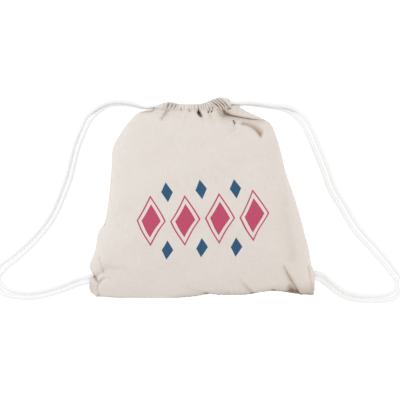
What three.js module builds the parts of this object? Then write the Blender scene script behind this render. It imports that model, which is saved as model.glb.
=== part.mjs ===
// Drawstring gym bag of natural cotton, lightly filled and lying on its back with the front up.
// Millimetres: +X to the right of the front, +Y towards the mouth, +Z up from the surface it lies on.
import * as THREE from "three";

// Cloth and cord
const WALL = 1.5;
const SEWN_GAP = 0.3;
const CASING_GAP = 0.6;
const CORD_DIAMETER = 8;
const CORD_RADIUS = CORD_DIAMETER / 2;
const STRAND_SPACING = CORD_DIAMETER + 0.5;
const CORD_BED = CORD_RADIUS + 0.4;

// Grids of the cloth pieces and rings of the cords
const PANEL_ROWS = 24;
const FRONT_COLUMNS = 48;
const BACK_COLUMNS = 18;
const FRONT_CASING_STATIONS = 48;
const BACK_CASING_STATIONS = 24;
const CASING_OUTER_SIDES = 8;
const CASING_INNER_SIDES = 8;
const CORD_SIDES = 8;
const CORD_STEPS = 80;
// Step along a surface or a line for taking its direction
const SMALL_STEP = 1e-3;

// Sections of the sack from the bottom seam up to the neck. left and right are the side seams in plan,
// middleY is where the section crosses the middle, crown is the height of the front there, seam is the
// height of the side seams and split is the slit between the two panels at the side seams.
const SECTIONS = [
  { leftX: -170, leftY: -157, rightX: 177, rightY: -154, middleY: -156, crown: 16, seam: 9, split: 0.3 },
  { leftX: -179, leftY: -149, rightX: 180, rightY: -148, middleY: -153, crown: 32, seam: 10, split: 0.3 },
  { leftX: -180, leftY: -136, rightX: 180, rightY: -134, middleY: -142, crown: 47, seam: 11, split: 0.3 },
  { leftX: -176, leftY: -121, rightX: 179, rightY: -119, middleY: -124, crown: 57, seam: 14, split: 0.3 },
  { leftX: -179, leftY: -107, rightX: 174, rightY: -105, middleY: -104, crown: 64, seam: 19, split: 0.3 },
  { leftX: -170, leftY: -83, rightX: 170, rightY: -82, middleY: -78, crown: 70, seam: 23, split: 0.3 },
  { leftX: -165, leftY: -57, rightX: 163, rightY: -57, middleY: -50, crown: 74, seam: 25, split: 0.3 },
  { leftX: -154, leftY: -37, rightX: 157, rightY: -34, middleY: -24, crown: 76, seam: 26, split: 0.3 },
  { leftX: -148, leftY: 0, rightX: 147, rightY: 0, middleY: 6, crown: 76, seam: 26, split: 0.3 },
  { leftX: -144, leftY: 44, rightX: 133, rightY: 40, middleY: 40, crown: 73, seam: 26, split: 0.3 },
  { leftX: -142, leftY: 77, rightX: 125, rightY: 74, middleY: 68, crown: 68, seam: 25, split: 0.3 },
  { leftX: -130, leftY: 102, rightX: 117, rightY: 101, middleY: 92, crown: 62, seam: 23, split: 0.3 },
  { leftX: -118, leftY: 119, rightX: 108, rightY: 118, middleY: 108, crown: 57, seam: 21, split: 0.3 },
  { leftX: -102, leftY: 133, rightX: 90, rightY: 129, middleY: 120, crown: 53, seam: 19, split: 0.3 },
  { leftX: -84, leftY: 141, rightX: 70, rightY: 141, middleY: 128, crown: 50, seam: 17, split: 2 },
  { leftX: -62, leftY: 141.5, rightX: 48, rightY: 143.5, middleY: 135.5, crown: 47, seam: 16, split: 9 },
];

// Waves of the bottom edge: middle of each wave, how far it draws the edge up and how far it reaches
const BOTTOM_WAVES = [
  { middleX: 114, up: 7, reach: 34 },
  { middleX: -78, up: -3.5, reach: 55 },
];
const BOTTOM_WAVE_ROWS = 0.3;

// Side profile of the filled front, and the rows over which it flattens into the shallow arches of the
// bottom seam and the mouth
const DOME_POWER = 2.5;
const BOTTOM_BLEND = 0.06;
const MOUTH_BLEND = 0.2;
// Share of the half width where the back lies flat, and the rows over which it leaves the bottom seam
const BACK_FLAT_SHARE = 0.8;
const BACK_BOTTOM_SHARE = 0.14;
const BACK_TURN_POWER = 2.2;
const BACK_NECK_HEIGHT = 7;
const BACK_NECK_START = 0.9;

// Folds of the front, each along a line in plan. depth at the start and the end is downwards, a ridge is
// negative; leftWidth and rightWidth are its reach to either side of the line.
const FOLDS = [
  // Long fold at the right shoulder
  { fromX: 34, fromY: 135, toX: 102, toY: 121, startDepth: 13, endDepth: 9, leftWidth: 5, rightWidth: 9 },
  // Roll above the shoulder fold
  { fromX: 44, fromY: 143, toX: 98, toY: 128, startDepth: -6, endDepth: -4, leftWidth: 7, rightWidth: 6 },
  // Curved fold, upper part
  { fromX: 46, fromY: 121, toX: 80, toY: 114, startDepth: 9, endDepth: 8, leftWidth: 6, rightWidth: 10 },
  // Curved fold, lower part
  { fromX: 78, fromY: 114, toX: 106, toY: 84, startDepth: 8, endDepth: 4, leftWidth: 7, rightWidth: 10 },
  // Crease at the left of the neck
  { fromX: -57, fromY: 141, toX: -70, toY: 118, startDepth: 6, endDepth: 3, leftWidth: 5, rightWidth: 7 },
  // Pocket in the middle of the neck
  { fromX: -6, fromY: 140, toX: -1, toY: 126, startDepth: 8, endDepth: 4, leftWidth: 4, rightWidth: 5 },
  // Crease into the left corner
  { fromX: -164, fromY: -109, toX: -114, toY: -123, startDepth: 6, endDepth: 2, leftWidth: 8, rightWidth: 8 },
  // Short crease at the left cord
  { fromX: -176, fromY: -124, toX: -156, toY: -142, startDepth: 6, endDepth: 3, leftWidth: 6, rightWidth: 6 },
  // Pocket at the right corner
  { fromX: 150, fromY: -151, toX: 131, toY: -108, startDepth: 13, endDepth: 4, leftWidth: 12, rightWidth: 6 },
  // Crease at the bottom
  { fromX: 80, fromY: -150, toX: 58, toY: -124, startDepth: 4, endDepth: 2, leftWidth: 8, rightWidth: 8 },
  // Dent in the left side
  { fromX: -156, fromY: -42, toX: -112, toY: -58, startDepth: 5, endDepth: 2, leftWidth: 8, rightWidth: 10 },
];
const FOLD_END_SHARE = 0.25;
// Shares of the half width and of the rows over which folds and pleats die away at the seams
const SIDE_EASE = 0.12;
const BOTTOM_EASE = 0.06;

// Pleats gathered on the front casing and running down from it
const PLEATS = 12;
const PLEAT_HEIGHT = 3;
const PLEAT_REACH = 0.2;

// Cord casings: half sizes across (along the cloth) and thick, with the full pouch near the right end
const CASING_HALF_ACROSS = 6.6;
const CASING_HALF_THICK = 6.6;
const CASING_POUCH = 3;
const CASING_POUCH_AT = 0.7;
const CASING_POUCH_REACH = 0.28;
const CASING_RUFFLE = 1.1;
const CASING_CLOTH = 1.2;
const FRONT_CASING_END_HEIGHT = 25.5;
const FRONT_CASING_MIDDLE_HEIGHT = 43;
const BACK_CASING_HEIGHT = 8;
// Places along a casing that its cord goes through
const CASING_STOPS = [-1, -0.75, -0.4, 0, 0.4, 0.75, 1];

// Routes of the pair of strands on either side, from the casing to the lower corner: x, y of the pair's
// middle, half of the spacing between the strands, and how far the front and the back strand are clear of
// the surface on the way down from the casings and up to the side seam.
const LEFT_ROUTE = [
  { x: -76, y: 148.5, half: 0, front: 15.5, back: 3.6 },
  { x: -94, y: 149.8, half: 0.8, front: 9, back: 1 },
  { x: -114, y: 152.3, half: 1.1, front: 5, back: 0 },
  { x: -134, y: 153.8, half: 1.5, front: 0, back: 0 },
  { x: -152, y: 151.3, half: 2.6, front: 0, back: 0 },
  { x: -170, y: 141, half: 3.7, front: 0, back: 0 },
  { x: -182.5, y: 129, half: 4.3, front: 0, back: 0 },
  { x: -191, y: 112.7, half: 4.3, front: 0, back: 0 },
  { x: -203.7, y: 80.5, half: 4.3, front: 0, back: 0 },
  { x: -209.8, y: 56, half: 4.3, front: 0, back: 0 },
  { x: -215.8, y: 32.2, half: 4.3, front: 0, back: 0 },
  { x: -227.9, y: 0, half: 4.3, front: 0, back: 0 },
  { x: -243.2, y: -32.2, half: 4.3, front: 0, back: 0 },
  { x: -268.7, y: -64.4, half: 4.3, front: 0, back: 0 },
  { x: -302, y: -96, half: 4.6, front: 0, back: 0 },
  { x: -322, y: -112, half: 5, front: 0, back: 0 },
  { x: -332, y: -131, half: 5, front: 0, back: 0 },
  { x: -320, y: -148, half: 5, front: 0, back: 0 },
  { x: -294, y: -155.6, half: 4.3, front: 0, back: 0 },
  { x: -267, y: -155.4, half: 4.3, front: 0, back: 0 },
  { x: -241.6, y: -149.8, half: 4.3, front: 0, back: 0 },
  { x: -216, y: -141, half: 4.3, front: 0, back: 0 },
  { x: -199, y: -134, half: 4.3, front: 2, back: 2 },
  { x: -182, y: -130.2, half: 4.3, front: 7, back: 7 },
];
const RIGHT_ROUTE = [
  { x: 63, y: 153, half: 0, front: 15.5, back: 3.6 },
  { x: 84, y: 152, half: 0.7, front: 9, back: 1 },
  { x: 108.8, y: 148.8, half: 1.3, front: 5, back: 0 },
  { x: 136, y: 144.4, half: 3, front: 0, back: 0 },
  { x: 151, y: 136.5, half: 4.3, front: 0, back: 0 },
  { x: 161.5, y: 127, half: 4.9, front: 0, back: 0 },
  { x: 171, y: 112, half: 5, front: 0, back: 0 },
  { x: 185, y: 80.5, half: 5, front: 0, back: 0 },
  { x: 198, y: 48.3, half: 5, front: 0, back: 0 },
  { x: 209.6, y: 16, half: 5, front: 0, back: 0 },
  { x: 228.7, y: -16, half: 5, front: 0, back: 0 },
  { x: 248, y: -48.3, half: 5.2, front: 0, back: 0 },
  { x: 276.5, y: -80.5, half: 5.2, front: 0, back: 0 },
  { x: 304, y: -113, half: 4.8, front: 0, back: 0 },
  { x: 318.5, y: -137, half: 5, front: 0, back: 0 },
  { x: 312, y: -153.5, half: 5, front: 0, back: 0 },
  { x: 293, y: -160.5, half: 4.6, front: 0, back: 0 },
  { x: 268, y: -161.3, half: 4.3, front: 0, back: 0 },
  { x: 242, y: -158.6, half: 4.3, front: 0, back: 0 },
  { x: 222, y: -150.5, half: 4.3, front: 0, back: 0 },
  { x: 204, y: -136.5, half: 4.3, front: 1, back: 1 },
  { x: 193.5, y: -128, half: 4.3, front: 4, back: 4 },
  { x: 183.2, y: -124.2, half: 4.3, front: 8, back: 8 },
];

// Natural cotton cloth and white cotton cord
const COTTON_COLOUR = 0xe3d9ce;
const COTTON_ROUGHNESS = 0.9;
const CORD_COLOUR = 0xf6f5f2;
const CORD_ROUGHNESS = 0.85;

const clamp01 = (value) => Math.min(1, Math.max(0, value));
const smooth = (value) => clamp01(value) ** 2 * (3 - 2 * clamp01(value));
const mix = (from, to, share) => from + (to - from) * share;

// Smooth curve through four neighbouring values of one column of the sections.
function throughValues(before, from, to, after, share) {
  const leave = (to - before) / 2;
  const arrive = (after - from) / 2;
  const bend = 3 * (to - from) - 2 * leave - arrive;
  const ease = 2 * (from - to) + leave + arrive;
  return from + share * (leave + share * (bend + share * ease));
}

// Section at a share of the way from the bottom seam (0) to the neck (1).
function sectionAt(v) {
  const last = SECTIONS.length - 1;
  const place = clamp01(v) * last;
  const index = Math.min(last - 1, Math.floor(place));
  const before = SECTIONS[Math.max(0, index - 1)];
  const from = SECTIONS[index];
  const to = SECTIONS[index + 1];
  const after = SECTIONS[Math.min(last, index + 2)];
  const section = {};
  for (const column of Object.keys(from)) {
    section[column] = throughValues(
      before[column], from[column], to[column], after[column], place - index,
    );
  }
  return section;
}

// How far the waves of the bottom edge draw the cloth up.
function bottomWave(x, v) {
  const share = smooth(1 - v / BOTTOM_WAVE_ROWS);
  let up = 0;
  for (const wave of BOTTOM_WAVES) {
    up += wave.up * share * Math.exp(-(((x - wave.middleX) / wave.reach) ** 2));
  }
  return up;
}

// Plan position; u runs from the left side seam (-1) to the right one (1), v up to the neck.
function planAt(u, v, section) {
  const across = (u + 1) / 2;
  const x = mix(section.leftX, section.rightX, across);
  const straightY = mix(section.leftY, section.rightY, across);
  const sag = section.middleY - (section.leftY + section.rightY) / 2;
  return { x, y: straightY + sag * (1 - u * u) + bottomWave(x, v) };
}

// Share of the crown reached at u: a full pillow in the sack, a shallow arch at the bottom and the mouth.
function domeAt(u, v) {
  const pillow = Math.max(0, 1 - Math.abs(u) ** DOME_POWER) ** (1 / DOME_POWER);
  const arch = 1 - u * u;
  const filled = smooth(v / BOTTOM_BLEND) * smooth((1 - v) / MOUTH_BLEND);
  return mix(arch, pillow, filled);
}

// Change of height that one fold makes at a place in plan.
function foldHeight(fold, x, y) {
  const runX = fold.toX - fold.fromX;
  const runY = fold.toY - fold.fromY;
  const length = Math.hypot(runX, runY);
  const along = ((x - fold.fromX) * runX + (y - fold.fromY) * runY) / length ** 2;
  const aside = ((y - fold.fromY) * runX - (x - fold.fromX) * runY) / length;
  const width = aside > 0 ? fold.leftWidth : fold.rightWidth;
  const fade = smooth(along / FOLD_END_SHARE + 1) * smooth((1 - along) / FOLD_END_SHARE + 1);
  const depth = mix(fold.startDepth, fold.endDepth, clamp01(along));
  return -depth * fade * Math.exp(-((aside / width) ** 2));
}

// Pleats of the gathered neck, at full height on the casing and dying away down the panel.
function pleatHeight(u, v) {
  const reach = smooth((v - 1) / PLEAT_REACH + 1);
  return PLEAT_HEIGHT * reach * Math.cos(Math.PI * PLEATS * (u + 1));
}

function frontPoint(u, v) {
  const section = sectionAt(v);
  const plan = planAt(u, v, section);
  const seamHeight = section.seam + section.split / 2;
  const edge = smooth((1 - Math.abs(u)) / SIDE_EASE) * smooth(v / BOTTOM_EASE);
  let height = mix(seamHeight, section.crown, domeAt(u, v));
  for (const fold of FOLDS) {
    height += edge * foldHeight(fold, plan.x, plan.y);
  }
  height += edge * pleatHeight(u, v);
  return new THREE.Vector3(plan.x, plan.y, height);
}

function backPoint(u, v) {
  const section = sectionAt(v);
  const plan = planAt(u, v, section);
  const bottom = SECTIONS[0];
  const bottomSeam = mix(bottom.seam, bottom.crown, domeAt(u, 0)) - SEWN_GAP / 2;
  const sideSeam = section.seam - section.split / 2;
  const sideTurn = clamp01((Math.abs(u) - BACK_FLAT_SHARE) / (1 - BACK_FLAT_SHARE)) ** BACK_TURN_POWER;
  const bottomTurn = clamp01(1 - v / BACK_BOTTOM_SHARE) ** BACK_TURN_POWER;
  const neckTurn = smooth((v - BACK_NECK_START) / (1 - BACK_NECK_START));
  const height = Math.max(sideSeam * sideTurn, bottomSeam * bottomTurn, BACK_NECK_HEIGHT * neckTurn);
  return new THREE.Vector3(plan.x, plan.y, height);
}

// Outward normal of a surface by small steps. Along the sewn edges it lies level, so that the cut edges of
// two panels face each other across the seam, and along the neck it faces away from the mouth's axis.
function outwardNormal(surface, u, v, side) {
  const acrossCloth = surface(Math.min(1, u + SMALL_STEP), v)
    .sub(surface(Math.max(-1, u - SMALL_STEP), v));
  const alongCloth = surface(u, Math.min(1, v + SMALL_STEP))
    .sub(surface(u, Math.max(0, v - SMALL_STEP)));
  const normal = acrossCloth.cross(alongCloth).normalize().multiplyScalar(side);
  if (Math.abs(u) === 1 || v === 0) {
    const corner = new THREE.Vector3(Math.abs(u) === 1 ? u : 0, v === 0 ? -1 : 0, 0);
    return corner.normalize();
  }
  return v === 1 ? normal.setY(0).normalize() : normal;
}

// Closed geometry from a list of corners and the triangles between them.
function closedGeometry(corners, triangles) {
  const geometry = new THREE.BufferGeometry().setFromPoints(corners);
  geometry.setIndex(triangles);
  geometry.computeVertexNormals();
  return geometry;
}

// Two triangles of a four-sided patch, corners in order round it.
function addPatch(triangles, a, b, c, d) {
  triangles.push(a, b, c, a, c, d);
}

// A cloth panel of one wall thickness from a surface of u and v. side is 1 where +Z is its outside.
function panelGeometry(surface, columns, rows, side) {
  const outer = [];
  const inner = [];
  for (let row = 0; row <= rows; row += 1) {
    for (let column = 0; column <= columns; column += 1) {
      const u = (2 * column) / columns - 1;
      const v = row / rows;
      const point = surface(u, v);
      const normal = outwardNormal(surface, u, v, side);
      outer.push(point);
      inner.push(point.clone().addScaledVector(normal, -WALL));
    }
  }
  const place = (column, row) => row * (columns + 1) + column;
  const under = outer.length;
  const triangles = [];
  const add = (a, b, c, d) => (side > 0 ? addPatch(triangles, a, b, c, d) : addPatch(triangles, d, c, b, a));
  for (let row = 0; row < rows; row += 1) {
    for (let column = 0; column < columns; column += 1) {
      const a = place(column, row);
      const b = place(column + 1, row);
      const c = place(column + 1, row + 1);
      const d = place(column, row + 1);
      add(a, b, c, d);
      add(under + d, under + c, under + b, under + a);
    }
  }
  const rim = [];
  for (let column = 0; column < columns; column += 1) rim.push(place(column, 0));
  for (let row = 0; row < rows; row += 1) rim.push(place(columns, row));
  for (let column = columns; column > 0; column -= 1) rim.push(place(column, rows));
  for (let row = rows; row > 0; row -= 1) rim.push(place(0, row));
  rim.forEach((corner, index) => {
    const next = rim[(index + 1) % rim.length];
    add(corner, under + corner, under + next, next);
  });
  return closedGeometry([...outer, ...inner], triangles);
}

// Half size of a casing across, with the fuller pouch.
function casingHalfAcross(u) {
  const pouch = CASING_POUCH * Math.exp(-(((u - CASING_POUCH_AT) / CASING_POUCH_REACH) ** 2));
  return CASING_HALF_ACROSS + pouch;
}

// Middle line of a casing, just beyond the upper edge of its panel.
function casingMiddle(u, endHeight, middleHeight) {
  const plan = planAt(u, 1, sectionAt(1));
  return new THREE.Vector3(
    plan.x,
    plan.y + casingHalfAcross(u) + CASING_GAP,
    mix(endHeight, middleHeight, 1 - u * u),
  );
}

// A gathered tunnel: an oval tube round the middle line, ruffled outside, plain inside, open at both ends.
function casingGeometry(middle, stations) {
  const corners = [];
  const ring = CASING_OUTER_SIDES + CASING_INNER_SIDES;
  for (let station = 0; station <= stations; station += 1) {
    const u = (2 * station) / stations - 1;
    const centre = middle(u);
    const before = middle(Math.max(-1, u - SMALL_STEP));
    const along = middle(Math.min(1, u + SMALL_STEP)).sub(before).normalize();
    const across = new THREE.Vector3(0, 0, 1).cross(along).normalize();
    const thick = along.clone().cross(across);
    const ruffle = CASING_RUFFLE * Math.cos(Math.PI * PLEATS * (u + 1));
    const addRing = (sides, halfAcross, halfThick, ruffled) => {
      for (let side = 0; side < sides; side += 1) {
        const turn = (2 * Math.PI * side) / sides;
        const swell = ruffled * (1 + Math.cos(turn)) / 2;
        corners.push(centre.clone()
          .addScaledVector(across, (halfAcross + swell) * Math.cos(turn))
          .addScaledVector(thick, (halfThick + swell) * Math.sin(turn)));
      }
    };
    const halfAcross = casingHalfAcross(u);
    addRing(CASING_OUTER_SIDES, halfAcross, CASING_HALF_THICK, ruffle);
    addRing(CASING_INNER_SIDES, halfAcross - CASING_CLOTH, CASING_HALF_THICK - CASING_CLOTH, 0);
  }
  const triangles = [];
  const outer = (station, side) => station * ring + (side % CASING_OUTER_SIDES);
  const inner = (station, side) => station * ring + CASING_OUTER_SIDES + (side % CASING_INNER_SIDES);
  for (let station = 0; station < stations; station += 1) {
    const next = station + 1;
    for (let side = 0; side < CASING_OUTER_SIDES; side += 1) {
      addPatch(
        triangles,
        outer(station, side), outer(station, side + 1), outer(next, side + 1), outer(next, side),
      );
    }
    for (let side = 0; side < CASING_INNER_SIDES; side += 1) {
      addPatch(
        triangles,
        inner(station, side), inner(next, side), inner(next, side + 1), inner(station, side + 1),
      );
    }
  }
  for (const station of [0, stations]) {
    addEndRing(triangles, (side) => outer(station, side), (side) => inner(station, side), station > 0);
  }
  return closedGeometry(corners, triangles);
}

// Flat end of a casing between its outer and inner ring.
function addEndRing(triangles, outer, inner, farEnd) {
  const add = (a, b, c) => (farEnd ? triangles.push(a, b, c) : triangles.push(a, c, b));
  let outerSide = 0;
  let innerSide = 0;
  while (outerSide < CASING_OUTER_SIDES || innerSide < CASING_INNER_SIDES) {
    const outerTurn = (outerSide + 1) / CASING_OUTER_SIDES;
    const innerTurn = (innerSide + 1) / CASING_INNER_SIDES;
    if (outerTurn <= innerTurn) {
      add(outer(outerSide), outer(outerSide + 1), inner(innerSide));
      outerSide += 1;
    } else {
      add(outer(outerSide), inner(innerSide + 1), inner(innerSide));
      innerSide += 1;
    }
  }
}

// One strand of a pair: beside the other where there is room, and over it where they come together.
function strandPoints(route, isFront, towardsCasing) {
  return route.map((stop, index) => {
    const before = route[Math.max(0, index - 1)];
    const after = route[Math.min(route.length - 1, index + 1)];
    const run = new THREE.Vector2(after.x - before.x, after.y - before.y).normalize();
    const outward = isFront ? towardsCasing : -towardsCasing;
    const over = Math.sqrt(Math.max(0, STRAND_SPACING ** 2 - (2 * stop.half) ** 2));
    const clear = isFront ? Math.max(stop.back + over, stop.front) : stop.back;
    return new THREE.Vector3(
      stop.x - outward * stop.half * run.y,
      stop.y + outward * stop.half * run.x,
      CORD_BED + clear,
    );
  });
}

function drawcordGeometry(isFront, middle) {
  const left = strandPoints(LEFT_ROUTE, isFront, -1);
  const right = strandPoints(RIGHT_ROUTE, isFront, 1);
  const inCasing = CASING_STOPS.map((u) => middle(u));
  const path = new THREE.CatmullRomCurve3([...left.reverse(), ...inCasing, ...right]);
  const outline = new THREE.Shape().absarc(0, 0, CORD_RADIUS, 0, 2 * Math.PI);
  return new THREE.ExtrudeGeometry(outline, {
    extrudePath: path,
    steps: CORD_STEPS,
    curveSegments: CORD_SIDES / 2,
    bevelEnabled: false,
  });
}

const clothMaterial = (color, roughness) => new THREE.MeshStandardMaterial({ color, roughness, metalness: 0 });
const cotton = () => clothMaterial(COTTON_COLOUR, COTTON_ROUGHNESS);
const cord = () => clothMaterial(CORD_COLOUR, CORD_ROUGHNESS);

function addPiece(name, geometry, material) {
  const piece = new THREE.Mesh(geometry, material);
  piece.name = name;
  group.add(piece);
}

const frontCasingMiddle = (u) => casingMiddle(u, FRONT_CASING_END_HEIGHT, FRONT_CASING_MIDDLE_HEIGHT);
const backCasingMiddle = (u) => casingMiddle(u, BACK_CASING_HEIGHT, BACK_CASING_HEIGHT);

const group = new THREE.Group();
group.name = "gym_bag";
addPiece("front_panel", panelGeometry(frontPoint, FRONT_COLUMNS, PANEL_ROWS, 1), cotton());
addPiece("back_panel", panelGeometry(backPoint, BACK_COLUMNS, PANEL_ROWS, -1), cotton());
addPiece("front_casing", casingGeometry(frontCasingMiddle, FRONT_CASING_STATIONS), cotton());
addPiece("back_casing", casingGeometry(backCasingMiddle, BACK_CASING_STATIONS), cotton());
addPiece("front_drawcord", drawcordGeometry(true, frontCasingMiddle), cord());
addPiece("back_drawcord", drawcordGeometry(false, backCasingMiddle), cord());

export default group;
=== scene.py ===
"""Looks of a cotton drawstring gym bag that lies on its back with its cords spread out beside it.

Metres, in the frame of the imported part: +X to the right of the front, +Y towards the mouth, +Z up.
"""
import math

import bpy
import numpy as np
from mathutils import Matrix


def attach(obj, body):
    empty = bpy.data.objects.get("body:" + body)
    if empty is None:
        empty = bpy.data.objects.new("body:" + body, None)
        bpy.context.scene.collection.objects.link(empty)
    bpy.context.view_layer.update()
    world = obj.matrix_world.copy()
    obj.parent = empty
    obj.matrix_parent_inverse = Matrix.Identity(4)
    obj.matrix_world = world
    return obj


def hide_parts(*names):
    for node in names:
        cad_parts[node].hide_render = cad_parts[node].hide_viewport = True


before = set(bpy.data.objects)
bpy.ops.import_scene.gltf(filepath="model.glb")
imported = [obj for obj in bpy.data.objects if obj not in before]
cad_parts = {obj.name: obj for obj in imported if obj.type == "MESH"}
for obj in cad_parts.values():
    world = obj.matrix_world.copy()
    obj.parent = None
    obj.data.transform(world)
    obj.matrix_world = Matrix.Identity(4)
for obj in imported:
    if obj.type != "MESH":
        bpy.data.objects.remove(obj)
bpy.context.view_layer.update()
RANDOM_SEED = 11
random = np.random.default_rng(RANDOM_SEED)

# Sections of the sack from the bottom seam up to the neck: the side seams in plan, where the section
# crosses the middle, the height of the front there, the height of the side seams and the slit in them.
SECTION_COLUMNS = ("left_x", "left_y", "right_x", "right_y", "middle_y", "crown", "seam", "split")
SECTIONS = (
    (-0.17, -0.157, 0.179, -0.1555, -0.156, 0.016, 0.009, 0.0),
    (-0.179, -0.149, 0.18, -0.149, -0.153, 0.032, 0.01, 0.0),
    (-0.18, -0.136, 0.18, -0.134, -0.142, 0.047, 0.011, 0.0),
    (-0.176, -0.121, 0.179, -0.119, -0.124, 0.057, 0.014, 0.0),
    (-0.179, -0.107, 0.174, -0.105, -0.104, 0.064, 0.019, 0.0),
    (-0.17, -0.083, 0.17, -0.082, -0.078, 0.07, 0.023, 0.0),
    (-0.165, -0.057, 0.163, -0.057, -0.05, 0.074, 0.025, 0.0),
    (-0.154, -0.037, 0.157, -0.034, -0.024, 0.076, 0.026, 0.0),
    (-0.148, 0.000, 0.147, 0.000, 0.006, 0.076, 0.026, 0.0),
    (-0.144, 0.044, 0.133, 0.04, 0.04, 0.073, 0.026, 0.0),
    (-0.142, 0.077, 0.125, 0.074, 0.068, 0.068, 0.025, 0.0),
    (-0.13, 0.102, 0.117, 0.101, 0.092, 0.062, 0.023, 0.0),
    (-0.118, 0.119, 0.108, 0.119, 0.108, 0.057, 0.021, 0.0),
    (-0.1045, 0.1338, 0.0915, 0.1285, 0.12, 0.053, 0.019, 0.0),
    (-0.093, 0.139, 0.0735, 0.137, 0.128, 0.05, 0.017, 0.002),
    (-0.078, 0.1404, 0.06, 0.145, 0.1355, 0.047, 0.016, 0.009),
)

# Waves of the bottom edge: middle, how far the edge is drawn up, reach
BOTTOM_WAVES = (
    (0.114, 0.007, 0.034),
    (-0.078, -0.0035, 0.055),
    (-0.138, -0.0022, 0.026),
    (0.011, 0.003, 0.013),
    (0.042, 0.001, 0.02),
    (-0.042, -0.0012, 0.024),
)
BOTTOM_WAVE_ROWS = 0.3

# Profiles of the filled front and of the back that lies on the floor, and how much closer together the
# columns of the cloth lie towards the side seams
SIDE_CROWDING = 0.5
DOME_POWER = 2.5
BOTTOM_BLEND = 0.06
MOUTH_BLEND = 0.2
BACK_FLAT_SHARE = 0.8
BACK_BOTTOM_SHARE = 0.14
BACK_TURN_POWER = 2.2
BACK_NECK_HEIGHT = 0.007
BACK_NECK_START = 0.9

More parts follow.
